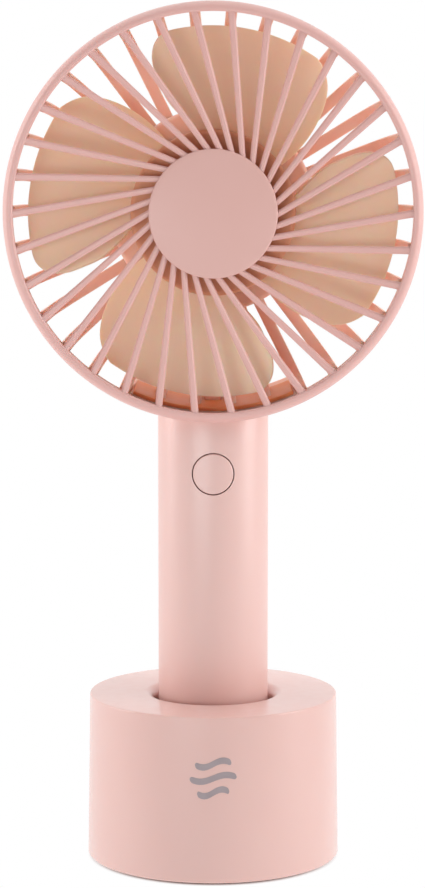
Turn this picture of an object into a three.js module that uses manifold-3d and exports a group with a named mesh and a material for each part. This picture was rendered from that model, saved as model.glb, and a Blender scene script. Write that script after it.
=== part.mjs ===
// Handheld electric fan standing in its round charging dock.
//
// Millimetres, +Z up. The origin is the centre of the dock's footprint on the surface it stands
// on. The fan blows towards -Y, and +X is on the right of someone who faces it.
// The dock and the handle are turned about Z, and the head is turned about a Y axis at HEAD_Z.

import * as THREE from 'three';
import { mergeVertices } from 'three/addons/utils/BufferGeometryUtils.js';
import Module from 'manifold-3d';

const wasm = await Module();
wasm.setup();

// ---------------------------------------------------------------- driving dimensions

const GAP = 0.3; // clearance between pieces that touch
const FOOT_PROUD = 0.6; // the silicone foot lifts the dock shell off the table

const DOCK_R_BOTTOM = 30.4;
const DOCK_R_TOP = 29.8;
const DOCK_HEIGHT = 39.4;
const DOCK_TOP_Z = FOOT_PROUD + DOCK_HEIGHT;
const DOCK_WALL = 2.0;
const WELL_R = 14.3; // upper bore of the well
const WELL_MOUTH = 2.5; // radius of the rounding at the well's mouth
const WELL_GUIDE_R = 13.6; // lower bore, which guides the handle
const WELL_GUIDE_TOP_Z = 23.2;
const WELL_FLOOR_Z = 8.4;
const WELL_WALL = 1.8;
const PLATE_Z = [1.2, 3.2]; // dock base plate, bottom and top
const DOCK_SCREW_R = 20.5; // pitch radius of the dock screws
const DOCK_SCREW_COUNT = 3;
const BOARD_Z = [3.7, 4.9];
const CONTACT_X = 4.0; // the two charging contacts lie at plus and minus this
const PIN_TIP_Z = 9.3;

const HANDLE_R = 13.2;
const HANDLE_WALL = 1.6;
const HANDLE_BOTTOM_Z = 8.7;
const HANDLE_SHELL_Z = 10.8;
const BUTTON_Z = 94.7;
const BUTTON_R = 4.8;

const HEAD_Z = 156.0; // height of the fan's axis
const HEAD_R = 49.0;
const RING_BACK_Y = -9.0;
const RING_INNER_R = 46.5;
const RIB_COUNT = 34;
const RIB_PITCH = (2 * Math.PI) / RIB_COUNT;
const RIB_FRONT_Y = -16.0;
const RIB_BACK_Y = -13.4;
const RIB_TANGENT_R = 7.8; // every front rib is tangent to a circle of this radius
const CAP_R = 15.0;
const HUB_R = 19.4;
const HUB_Y = [-11.5, 2.5];
const BLADE_COUNT = 4;
const BLADE_TIP_R = 43.5;
const SADDLE_HALF_ANGLE = THREE.MathUtils.degToRad(24);
const CUP_R = 24.4; // motor housing at the back of the head
const CUP_Y = [3.5, 18.5];
const NECK_R = 10.6; // tube at the foot of the guard, which enters the handle
const NECK_Z = 101;
const NECK_SCREW_X = [-3.5, 3.5];
const NECK_SCREW_Z = 104;
const LEAD_Y = 7.5; // the motor leads run down behind the axis at this depth

const SHAFT_R = 1.0;
const BUSH_BORE_R = 1.06; // running fit on the shaft
const MOTOR_R = 12.1;
const MOTOR_Y = [5.8, 16.5];
const MOTOR_SCREW_X = [-6, 6];

const FINE = 68; // facets round the head: two for each rib
const ROUND = 36; // facets round the dock and the handle
const SMALL = 16;

// ---------------------------------------------------------------- finishes

const finish = (color, roughness, metalness = 0) => ({ color, roughness, metalness });
const FINISH = {
  shell_pink: finish(0xe9c9c1, 0.38),
  cap_pink: finish(0xd9ada5, 0.42),
  guard_salmon: finish(0xcf8566, 0.45),
  blade_tan: finish(0xd6aa96, 0.4),
  steel: finish(0xb9bbbd, 0.3, 1),
  brass: finish(0xd0a85c, 0.3, 1),
  board_green: finish(0x1f5a3c, 0.6),
  black_plastic: finish(0x1c1c1e, 0.5),
  magnet_grey: finish(0x4a4a4c, 0.7),
  cell_wrap: finish(0x3d6ea8, 0.35),
  silicone: finish(0xd8cfcb, 0.8),
  copper: finish(0xb5683c, 0.4, 1),
};

// ---------------------------------------------------------------- shape helpers

/** A merged, closed geometry as a solid that can be joined and cut. */
function solidOf(geometry) {
  const bare = geometry.clone();
  bare.deleteAttribute('normal');
  bare.deleteAttribute('uv');
  const merged = mergeVertices(bare);
  const index = merged.index.array;
  const faces = [];
  for (let i = 0; i < index.length; i += 3) {
    const [a, b, c] = [index[i], index[i + 1], index[i + 2]];
    if (a !== b && b !== c && c !== a) faces.push(a, b, c);
  }
  return new wasm.Manifold(
    new wasm.Mesh({
      numProp: 3,
      vertProperties: new Float32Array(merged.attributes.position.array),
      triVerts: new Uint32Array(faces),
    }),
  );
}

/** A solid as a geometry with flat shading. */
function geometryOf(solid) {
  const mesh = solid.getMesh();
  const geometry = new THREE.BufferGeometry();
  geometry.setAttribute('position', new THREE.BufferAttribute(mesh.vertProperties, 3));
  geometry.setIndex(new THREE.BufferAttribute(mesh.triVerts, 1));
  const flat = geometry.toNonIndexed();
  flat.computeVertexNormals();
  return flat;
}

/** A profile of [radius, height] pairs, running up its outer side, turned about Y. */
function turnedY(profile, segments = FINE) {
  const points = profile.map(([r, y]) => new THREE.Vector2(r, y));
  if (profile[0][0] > 0) points.push(points[0].clone());
  return solidOf(new THREE.LatheGeometry(points, segments));
}

/** The same profile turned about Z. */
function turnedZ(profile, segments = ROUND) {
  return turnedY(profile, segments).rotate([90, 0, 0]);
}

/** A plain ring or tube, about Y. */
function tubeY(inner, outer, [low, high], segments = SMALL) {
  return turnedY([[inner, low], [outer, low], [outer, high], [inner, high]], segments);
}

/** A plain ring or tube, about Z. */
function tubeZ(inner, outer, span, segments = ROUND) {
  return tubeY(inner, outer, span, segments).rotate([90, 0, 0]);
}

/** A rod or disc about Y, centred on x and z. */
function rodY(radius, [low, high], x = 0, z = 0, segments = SMALL) {
  const rod = new THREE.CylinderGeometry(radius, radius, high - low, segments);
  return solidOf(rod.translate(x, (low + high) / 2, z));
}

/** A rod or disc about Z, centred on x and y. */
function rodZ(radius, [low, high], x = 0, y = 0, segments = SMALL) {
  const rod = new THREE.CylinderGeometry(radius, radius, high - low, segments);
  return solidOf(rod.rotateX(Math.PI / 2).translate(x, y, (low + high) / 2));
}

/** A block between two limits along each axis. */
function block([x0, x1], [y0, y1], [z0, z1]) {
  const box = new THREE.BoxGeometry(x1 - x0, y1 - y0, z1 - z0);
  return solidOf(box.translate((x0 + x1) / 2, (y0 + y1) / 2, (z0 + z1) / 2));
}

/** An outline drawn as seen from the front, given depth between two Y values. */
function frontPlate(outline, [front, back]) {
  const shape = new THREE.Shape(outline.map(([x, z]) => new THREE.Vector2(x, z)));
  const plate = new THREE.ExtrudeGeometry(shape, { depth: back - front, bevelEnabled: false });
  return solidOf(plate.translate(0, 0, -back).rotateX(Math.PI / 2));
}

/** Copies of a solid, spaced evenly clockwise as seen from the front. */
function ringOfCopies(solid, count, firstAngle) {
  const copies = [];
  for (let k = 0; k < count; k += 1) {
    const angle = THREE.MathUtils.radToDeg(firstAngle + (k * 2 * Math.PI) / count);
    copies.push(solid.rotate([0, angle, 0]));
  }
  return copies;
}

/** Several solids joined into one. */
function joined(solids) {
  return solids.reduce((whole, solid) => whole.add(solid));
}

const fan = new THREE.Group();

/** Adds one finished piece to the model under its own name. */
function place(name, solid, look, position = [0, 0, 0]) {
  const mesh = new THREE.Mesh(geometryOf(solid), new THREE.MeshStandardMaterial(FINISH[look]));
  mesh.name = name;
  mesh.position.set(...position);
  fan.add(mesh);
}

const AT_HEAD = [0, 0, HEAD_Z];

// ---------------------------------------------------------------- head: grille, cap and guard

/** Rounded outer ring, straight ribs that miss the centre, and the plate behind the cap. */
function frontGrille() {
  const ring = turnedY([
    [RING_INNER_R, -16.2],
    [47.1, -16.6],
    [48.1, -16.3],
    [48.8, -15.2],
    [HEAD_R, -13.0],
    [48.8, RING_BACK_Y],
    [RING_INNER_R, RING_BACK_Y],
  ]);
  const plate = tubeY(2.9, 14.2, [-15.6, RIB_BACK_Y], RIB_COUNT);
  const outer = Math.sqrt((RING_INNER_R + 0.6) ** 2 - RIB_TANGENT_R ** 2);
  const inner = Math.sqrt(13.6 ** 2 - RIB_TANGENT_R ** 2);
  const rib = frontPlate(
    [
      [RIB_TANGENT_R - 0.65, inner],
      [RIB_TANGENT_R + 0.65, inner],
      [RIB_TANGENT_R + 0.75, outer],
      [RIB_TANGENT_R - 0.75, outer],
    ],
    [RIB_FRONT_Y, RIB_BACK_Y],
  );
  const lead = Math.asin(RIB_TANGENT_R / RING_INNER_R);
  return joined([ring, plate, ...ringOfCopies(rib, RIB_COUNT, RIB_PITCH / 2 - lead)]);
}

/** Round cap with a peg that snaps into the grille's centre plate. */
function centreCap() {
  return turnedY(
    [
      [0, -17.4],
      [14.4, -17.4],
      [CAP_R, -17.0],
      [CAP_R, RIB_FRONT_Y - GAP],
      [12.8, RIB_FRONT_Y - GAP],
      [12.8, -15.9],
      [2.5, -15.9],
      [2.5, -13.8],
      [0, -13.8],
    ],
    ROUND,
  );
}

/** One rear rib: a fin that runs back from the rim and turns in to the motor housing. */
function rearRib() {
  const side = new THREE.Shape();
  side.moveTo(48.2, -6);
  side.lineTo(47.9, 1);
  side.quadraticCurveTo(46.6, 10.4, 38, 10.8);
  side.lineTo(23.4, 11.6);
  side.lineTo(23.4, 9.2);
  side.lineTo(38, 8.4);
  side.quadraticCurveTo(45, 8, 45.6, 1);
  side.lineTo(46.0, -6);
  const width = 2.0;
  const fin = new THREE.ExtrudeGeometry(side, {
    depth: width,
    bevelEnabled: false,
    curveSegments: 3,
  });
  return solidOf(fin.translate(0, 0, -width / 2).rotateY(-Math.PI / 2));
}

/** The wall over the handle, which closes the guard at the bottom and carries the neck. */
function saddle() {
  const band = turnedY([
    [46.0, -8.7],
    [48.5, -8.7],
    [48.5, 12.6],
    [44.2, 12.6],
    [45.4, 8.0],
    [46.0, 0],
  ]);
  const reach = 2 * HEAD_R;
  const side = reach * Math.tan(SADDLE_HALF_ANGLE);
  const wedge = frontPlate([[0, 0], [-side, -reach], [side, -reach]], [-20, 20]);
  return band.intersect(wedge);
}

/** Rim, ribs, motor housing, saddle, lead channel and the neck that enters the handle. */
function rearGuard() {
  const rim = tubeY(45.9, 48.4, [-8.7, -5.2], FINE);
  const cup = turnedY(
    [
      [3.4, CUP_Y[0]],
      [23.6, CUP_Y[0]],
      [CUP_R, CUP_Y[0] + 0.8],
      [CUP_R, CUP_Y[1]],
      [22.6, CUP_Y[1]],
      [22.6, CUP_Y[0] + 2],
      [3.4, CUP_Y[0] + 2],
    ],
    RIB_COUNT,
  );
  const channel = block([-2, 2], [5.2, 9.8], [-46.4, -23.6]);
  const neck = rodZ(NECK_R, [NECK_Z - HEAD_Z, -47.0], 0, 0, ROUND).subtract(
    rodY(HEAD_R + GAP, [-20, RING_BACK_Y + GAP], 0, 0, FINE),
  );
  const ribs = ringOfCopies(rearRib(), RIB_COUNT, RIB_PITCH / 2);
  let guard = joined([rim, cup, channel, saddle(), neck, ...ribs]);
  guard = guard.subtract(rodZ(NECK_R - 1.8, [NECK_Z - HEAD_Z - 5, -50.5], 0, 0, ROUND));
  guard = guard.subtract(rodZ(1.1, [-60, -22], 0, LEAD_Y));
  for (const x of MOTOR_SCREW_X) guard = guard.subtract(rodY(1.0, [0, 8], x));
  for (const x of NECK_SCREW_X) {
    guard = guard.subtract(rodY(1.1, [6, 14], x, NECK_SCREW_Z - HEAD_Z));
  }
  return guard;
}

/** Domed lid with a lip, pushed into the back of the motor housing. */
function rearMotorCover() {
  return turnedY(
    [
      [0, 18.8],
      [20.8, 18.8],
      [20.8, 16.0],
      [22.3, 16.0],
      [22.3, 18.8],
      [CUP_R, 18.8],
      [CUP_R - 0.6, 19.7],
      [20.0, 20.2],
      [0, 20.4],
    ],
    ROUND,
  );
}

// ---------------------------------------------------------------- rotor and motor

/** Angle of a blade's straight trailing edge at a radius, in degrees, with a rounded tip. */
function trailingAngle(r) {
  const inward = Math.max(0, 1 - (r - 20) / 10.6);
  const tip = Math.min(1, Math.max(0, (r - 34.6) / (BLADE_TIP_R - 34.6)));
  return 10 * inward ** 2 + 9 * (1 - Math.sqrt(1 - tip ** 2));
}

/** Angle of a blade's swept leading edge at a radius, in degrees. */
function leadingAngle(r) {
  const t = Math.max(0, (r - 20) / (BLADE_TIP_R - 20));
  return 82 - 17 * t ** 1.5 - 9 * t ** 14;
}

/** One twisted blade: a thin block bent round the hub and set back towards its leading edge. */
function blade() {
  const sheet = new THREE.BoxGeometry(1, 1, 1, 7, 5, 1);
  const points = sheet.attributes.position;
  const root = HUB_R - 0.9;
  for (let i = 0; i < points.count; i += 1) {
    const r = root + (points.getY(i) + 0.5) * (BLADE_TIP_R - root);
    const across = points.getX(i) + 0.5;
    const degrees = THREE.MathUtils.lerp(trailingAngle(r), leadingAngle(r), across);
    const angle = THREE.MathUtils.degToRad(degrees - 22.5);
    const depth = -10.2 + 12.2 * (degrees / 82) - 1.3 * points.getZ(i);
    points.setXYZ(i, r * Math.sin(angle), depth, r * Math.cos(angle));
  }
  return solidOf(sheet);
}

/** Cup-shaped hub with a boss for the shaft, and its blades. */
function fanRotor() {
  const [front, back] = HUB_Y;
  const hub = turnedY(
    [
      [0, front],
      [HUB_R - 1, front],
      [HUB_R, front + 1],
      [HUB_R, back],
      [HUB_R - 1.6, back],
      [HUB_R - 1.6, front + 1.6],
      [3.2, front + 1.6],
      [3.2, back - 0.3],
      [SHAFT_R + GAP, back - 0.3],
      [SHAFT_R + GAP, front + 1.2],
      [0, front + 1.2],
    ],
    ROUND,
  );
  return joined([hub, ...ringOfCopies(blade(), BLADE_COUNT, 0)]);
}

/** Drawn steel can with a nose for the front bush and two tapped holes. */
function motorCan() {
  const [front, back] = MOTOR_Y;
  let can = turnedY(
    [
      [2.3, front - 1.8],
      [2.9, front - 1.8],
      [2.9, front],
      [MOTOR_R, front],
      [MOTOR_R, back],
      [MOTOR_R - 0.7, back],
      [MOTOR_R - 0.7, front + 1],
      [2.3, front + 1],
    ],
    ROUND,
  );
  for (const x of MOTOR_SCREW_X) can = can.subtract(rodY(1.0, [front - 1, front + 2], x));
  return can;
}

/** Wound core with three poles, and the commutator behind it. */
function motorArmature() {
  const core = tubeY(SHAFT_R + GAP, 8.8, [8.5, 15.0], ROUND);
  const commutator = tubeY(SHAFT_R + GAP, 3.0, [14.8, 16.2]);
  const slot = block([-1.1, 1.1], [8, 15.5], [4.6, 9.2]);
  let armature = core.add(commutator);
  for (const cut of ringOfCopies(slot, 3, 0)) armature = armature.subtract(cut);
  return armature;
}

/** Screw lying along Y with its head at the given end. */
function screwAlongY(headR, head, shankR, shank, x, z) {
  return rodY(headR, head, x, z).add(rodY(shankR, shank, x, z, 12));
}

/** Two insulated leads side by side, from the motor down to the control board. */
function motorLeads() {
  const route = new THREE.CatmullRomCurve3([
    new THREE.Vector3(0, LEAD_Y, 101.6),
    new THREE.Vector3(0, LEAD_Y, 112),
    new THREE.Vector3(0, LEAD_Y, 122),
    new THREE.Vector3(0, LEAD_Y, 133),
    new THREE.Vector3(0, 9.5, 138.5),
    new THREE.Vector3(0, 13.5, 141.0),
  ]);
  const section = new THREE.Shape().absellipse(0, 0, 0.7, 0.7, 0, 2 * Math.PI);
  const lead = new THREE.ExtrudeGeometry(section, {
    extrudePath: route,
    steps: 12,
    curveSegments: 5,
    bevelEnabled: false,
  });
  return solidOf(lead);
}

// ---------------------------------------------------------------- handle

/** Handle tube with its top hollowed to fit round the head. */
function handleTube() {
  const tube = tubeZ(HANDLE_R - HANDLE_WALL, HANDLE_R, [HANDLE_SHELL_Z, 112]);
  return tube.subtract(rodY(HEAD_R + GAP, [-40, 40], 0, HEAD_Z, FINE));
}

/** Front half of the handle, with the button hole. */
function handleFrontShell() {
  const half = handleTube().intersect(block([-20, 20], [-20, -GAP / 2], [0, 120]));
  return half.subtract(rodY(BUTTON_R + GAP, [-20, -5], 0, BUTTON_Z, 24));
}

/** Back half of the handle, with a pad and countersinks for the neck screws. */
function handleRearShell() {
  const pad = block([-6.2, 6.2], [NECK_R + GAP, 12.2], [101.4, 106.6]).intersect(
    rodZ(HANDLE_R - 0.4, [0, 120], 0, 0, ROUND),
  );
  let half = handleTube().intersect(block([-20, 20], [GAP / 2, 20], [0, 120])).add(pad);
  for (const x of NECK_SCREW_X) {
    half = half.subtract(rodY(1.1, [8, 14], x, NECK_SCREW_Z));
    half = half.subtract(rodY(1.8, [11.6, 16], x, NECK_SCREW_Z));
  }
  return half;
}

/** Plug in the bottom of the handle, with two sockets for the charging contacts. */
function handleEndCap() {
  let cap = turnedZ([
    [0, HANDLE_BOTTOM_Z],
    [HANDLE_R - 0.6, HANDLE_BOTTOM_Z],
    [HANDLE_R, HANDLE_BOTTOM_Z + 0.6],
    [HANDLE_R, HANDLE_SHELL_Z - GAP],
    [11.3, HANDLE_SHELL_Z - GAP],
    [11.3, 13.0],
    [0, 13.0],
  ]);
  for (const x of [-CONTACT_X, CONTACT_X]) cap = cap.subtract(rodZ(2.5, [8, 14], x));
  return cap;
}

/** Cylindrical rechargeable cell with its raised positive cap. */
function batteryCell() {
  return turnedZ([
    [0, 14.2],
    [8.8, 14.2],
    [9.2, 14.6],
    [9.2, 78.0],
    [8.8, 78.5],
    [3.4, 78.5],
    [3.4, 79.2],
    [0, 79.2],
  ]);
}

/** Round button whose face follows the handle, with the flange that keeps it in. */
function powerButton() {
  const stem = rodY(BUTTON_R, [-16, -9.5], 0, BUTTON_Z, 24);
  const face = stem.intersect(rodZ(HANDLE_R, [80, 110], 0, 0, ROUND));
  return face.add(rodY(5.8, [-9.7, -8.7], 0, BUTTON_Z, 24));
}

/** Switch body on the board, bored for its plunger. */
function switchHousing() {
  const body = block([-3, 3], [-7.1, -4.5], [BUTTON_Z - 3, BUTTON_Z + 3]);
  return body.subtract(rodY(1.9, [-8, -5.0], 0, BUTTON_Z));
}

// ---------------------------------------------------------------- dock

/** Angles of the dock screws, measured from +X; none is at the back, where the inlet is. */
const dockScrewPlaces = Array.from({ length: DOCK_SCREW_COUNT }, (_, k) => {
  const angle = -Math.PI / 2 + (k * 2 * Math.PI) / DOCK_SCREW_COUNT;
  return [DOCK_SCREW_R * Math.cos(angle), DOCK_SCREW_R * Math.sin(angle)];
});

/** Outer wall, glossy top and the well for the handle, with bosses for the plate's screws. */
function dockShell() {
  const underTop = DOCK_TOP_Z - 2.4;
  const mouth = [0, 30, 60, 90].map((degrees) => {
    const turn = (degrees * Math.PI) / 180;
    return [WELL_R + WELL_MOUTH * (1 - Math.sin(turn)), DOCK_TOP_Z - WELL_MOUTH * (1 - Math.cos(turn))];
  });
  let shell = turnedZ([
    [0, WELL_FLOOR_Z - 2],
    [WELL_GUIDE_R + WELL_WALL, WELL_FLOOR_Z - 2],
    [WELL_GUIDE_R + WELL_WALL, 22],
    [WELL_R + WELL_WALL, 24],
    [WELL_R + WELL_WALL, underTop - 1.4],
    [WELL_R + WELL_MOUTH + 1.0, underTop],
    [DOCK_R_TOP - DOCK_WALL, underTop],
    [DOCK_R_BOTTOM - DOCK_WALL, FOOT_PROUD],
    [DOCK_R_BOTTOM, FOOT_PROUD],
    [DOCK_R_TOP, DOCK_TOP_Z - 0.9],
    [DOCK_R_TOP - 0.3, DOCK_TOP_Z - 0.2],
    [DOCK_R_TOP - 0.9, DOCK_TOP_Z],
    ...mouth,
    [WELL_R, WELL_GUIDE_TOP_Z + 1.4],
    [WELL_GUIDE_R, WELL_GUIDE_TOP_Z],
    [WELL_GUIDE_R, WELL_FLOOR_Z],
    [0, WELL_FLOOR_Z],
  ]);
  for (const [x, y] of dockScrewPlaces) {
    shell = shell.add(rodZ(2.6, [4.2, underTop + 0.5], x, y, 16));
    shell = shell.subtract(rodZ(1.1, [4, 14], x, y, 12));
  }
  for (const x of [-CONTACT_X, CONTACT_X]) shell = shell.subtract(rodZ(1.8, [6, 9], x));
  return shell.subtract(block([-4.9, 4.9], [25, 35], [4.9, 8.7]));
}

/** Bottom plate with counterbored holes. */
function dockBasePlate() {
  let plate = rodZ(28.0, PLATE_Z, 0, 0, ROUND);
  for (const [x, y] of dockScrewPlaces) {
    plate = plate.subtract(rodZ(1.4, [1, 4], x, y, 12));
    plate = plate.subtract(rodZ(2.5, [1, 2.3], x, y, 16));
  }
  return plate;
}

/** Steel weight: a ring left open at the back for the inlet. */
function ballastRing() {
  return tubeZ(23.6, 27.6, [3.5, 9.5]).subtract(block([-9, 9], [10, 30], [3, 10]));
}

/** Round charging board with a tongue that carries the inlet. */
function dockBoard() {
  return rodZ(14.4, BOARD_Z, 0, 0, ROUND).add(block([-6, 6], [10, 27], BOARD_Z));
}

/** Metal shell of the charging inlet, open at the back of the dock. */
function dockInlet() {
  const shell = block([-4.5, 4.5], [21.6, 29.6], [5.2, 8.4]);
  return shell.subtract(block([-4.1, 4.1], [23, 31], [5.6, 8.0]));
}

// ---------------------------------------------------------------- assembly

place('dock_shell', dockShell(), 'shell_pink');
place('dock_base_plate', dockBasePlate(), 'shell_pink');
place('dock_foot_ring', tubeZ(23.4, 27.4, [0, PLATE_Z[0] - GAP]), 'silicone');
place('ballast_ring', ballastRing(), 'steel');
place('dock_board', dockBoard(), 'board_green');
place('dock_inlet', dockInlet(), 'steel');
dockScrewPlaces.forEach(([x, y], k) => {
  const screw = rodZ(2.0, [1.3, 2.0]).add(rodZ(0.8, [1.9, 12], 0, 0, 12));
  place(`dock_screw_${k + 1}`, screw, 'steel', [x, y, 0]);
});
for (const [side, x] of [['left', -CONTACT_X], ['right', CONTACT_X]]) {
  place(`pin_barrel_${side}`, tubeZ(1.2, 1.5, [5.2, WELL_FLOOR_Z], SMALL), 'brass', [x, 0, 0]);
  place(`contact_pin_${side}`, rodZ(1.0, [6.0, PIN_TIP_Z]), 'brass', [x, 0, 0]);
  place(`charge_pad_${side}`, rodZ(2.2, [PIN_TIP_Z + GAP, 12.4]), 'brass', [x, 0, 0]);
}

place('handle_front_shell', handleFrontShell(), 'shell_pink');
place('handle_rear_shell', handleRearShell(), 'shell_pink');
place('handle_end_cap', handleEndCap(), 'shell_pink');
place('battery_cell', batteryCell(), 'cell_wrap');
place('battery_tab_bottom', rodZ(4.0, [13.4, 13.9]), 'steel');
place('battery_tab_top', rodZ(3.0, [79.5, 79.9]), 'steel');
place('control_board', block([-8.3, 8.3], [-4.2, -3.0], [81, 100.5]), 'board_green');
place('switch_housing', switchHousing(), 'black_plastic');
place('switch_plunger', rodY(1.6, [-8.4, -5.9], 0, BUTTON_Z), 'black_plastic');
place('power_button', powerButton(), 'shell_pink');
for (const [side, x] of [['left', NECK_SCREW_X[0]], ['right', NECK_SCREW_X[1]]]) {
  const screw = screwAlongY(1.5, [11.9, 12.4], 0.8, [8.9, 12.0], x, NECK_SCREW_Z);
  place(`neck_screw_${side}`, screw, 'steel');
}

place('front_grille', frontGrille(), 'shell_pink', AT_HEAD);
place('centre_cap', centreCap(), 'cap_pink', AT_HEAD);
place('rear_guard', rearGuard(), 'guard_salmon', AT_HEAD);
place('rear_motor_cover', rearMotorCover(), 'guard_salmon', AT_HEAD);
place('fan_rotor', fanRotor(), 'blade_tan', AT_HEAD);
place('motor_shaft', rodY(SHAFT_R, [-10.0, 17.6]), 'steel', AT_HEAD);
place('shaft_spacer', tubeY(SHAFT_R + GAP, 2.4, [2.6, 3.4]), 'brass', AT_HEAD);
place('motor_armature', motorArmature(), 'copper', AT_HEAD);
place('motor_can', motorCan(), 'steel', AT_HEAD);
place('motor_magnet', tubeY(9.3, 11.1, [7.1, 16.4], ROUND), 'magnet_grey', AT_HEAD);
place('motor_end_bell', tubeY(2.3, MOTOR_R, [16.8, 18.0], ROUND), 'black_plastic', AT_HEAD);
place('motor_bush_front', tubeY(BUSH_BORE_R, 2.0, [4.0, 7.8]), 'brass', AT_HEAD);
place('motor_bush_rear', tubeY(BUSH_BORE_R, 2.0, [16.6, 18.2]), 'brass', AT_HEAD);
place('motor_leads', motorLeads(), 'black_plastic');
for (const [side, x] of [['left', MOTOR_SCREW_X[0]], ['right', MOTOR_SCREW_X[1]]]) {
  const screw = screwAlongY(1.5, [2.6, 3.2], 0.7, [3.1, 7.0], x, 0);
  place(`motor_screw_${side}`, screw, 'steel', AT_HEAD);
}

export default fan;
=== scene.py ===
"""The finished look of a handheld electric fan that stands in its round charging dock.

Every length is in metres. The fan blows towards -Y and stands on the floor at Z = 0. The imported
frame gives the places: the height of the fan's axis, the top of the dock and the outer sizes.
"""

from __future__ import annotations

import logging
import math
from dataclasses import dataclass, field
from enum import Enum
from functools import lru_cache
from typing import Iterable, Sequence

import bpy
from mathutils import Matrix, Vector

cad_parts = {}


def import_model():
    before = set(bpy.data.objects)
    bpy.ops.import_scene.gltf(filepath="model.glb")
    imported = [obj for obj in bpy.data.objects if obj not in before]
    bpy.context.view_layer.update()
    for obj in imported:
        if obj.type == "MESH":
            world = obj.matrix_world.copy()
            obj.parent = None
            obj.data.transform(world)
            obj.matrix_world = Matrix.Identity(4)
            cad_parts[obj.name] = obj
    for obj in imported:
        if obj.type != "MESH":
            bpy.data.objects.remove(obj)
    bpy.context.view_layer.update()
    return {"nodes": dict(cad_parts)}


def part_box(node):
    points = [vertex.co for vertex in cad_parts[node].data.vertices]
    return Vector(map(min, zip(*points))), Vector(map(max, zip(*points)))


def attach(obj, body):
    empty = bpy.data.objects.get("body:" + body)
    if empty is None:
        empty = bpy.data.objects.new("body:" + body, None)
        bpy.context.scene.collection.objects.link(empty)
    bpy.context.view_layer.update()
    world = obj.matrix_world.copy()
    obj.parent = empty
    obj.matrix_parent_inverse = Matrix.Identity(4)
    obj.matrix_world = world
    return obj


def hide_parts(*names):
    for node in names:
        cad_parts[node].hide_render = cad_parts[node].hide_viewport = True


log = logging.getLogger("fan")

Point2 = tuple[float, float]
Colour = tuple[float, float, float, float]
MM = 0.001
GAP = 0.3 * MM
WELD = 1e-6
NOISE_SPAN = (0.3, 0.7)


# ------------------------------------------------------------------ finishes


def paint(red: int, green: int, blue: int) -> Colour:
    """Turns a colour as a designer names it, 0 to 255 a channel, into linear light.

    Args:
        red: Red channel.
        green: Green channel.
        blue: Blue channel.

    Returns:
        The linear colour with full opacity.
    """

    def channel(value: int) -> float:
        """One channel in linear light."""
        share = value / 255
        return share / 12.92 if share <= 0.04045 else ((share + 0.055) / 1.055) ** 2.4

    return channel(red), channel(green), channel(blue), 1.0


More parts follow.
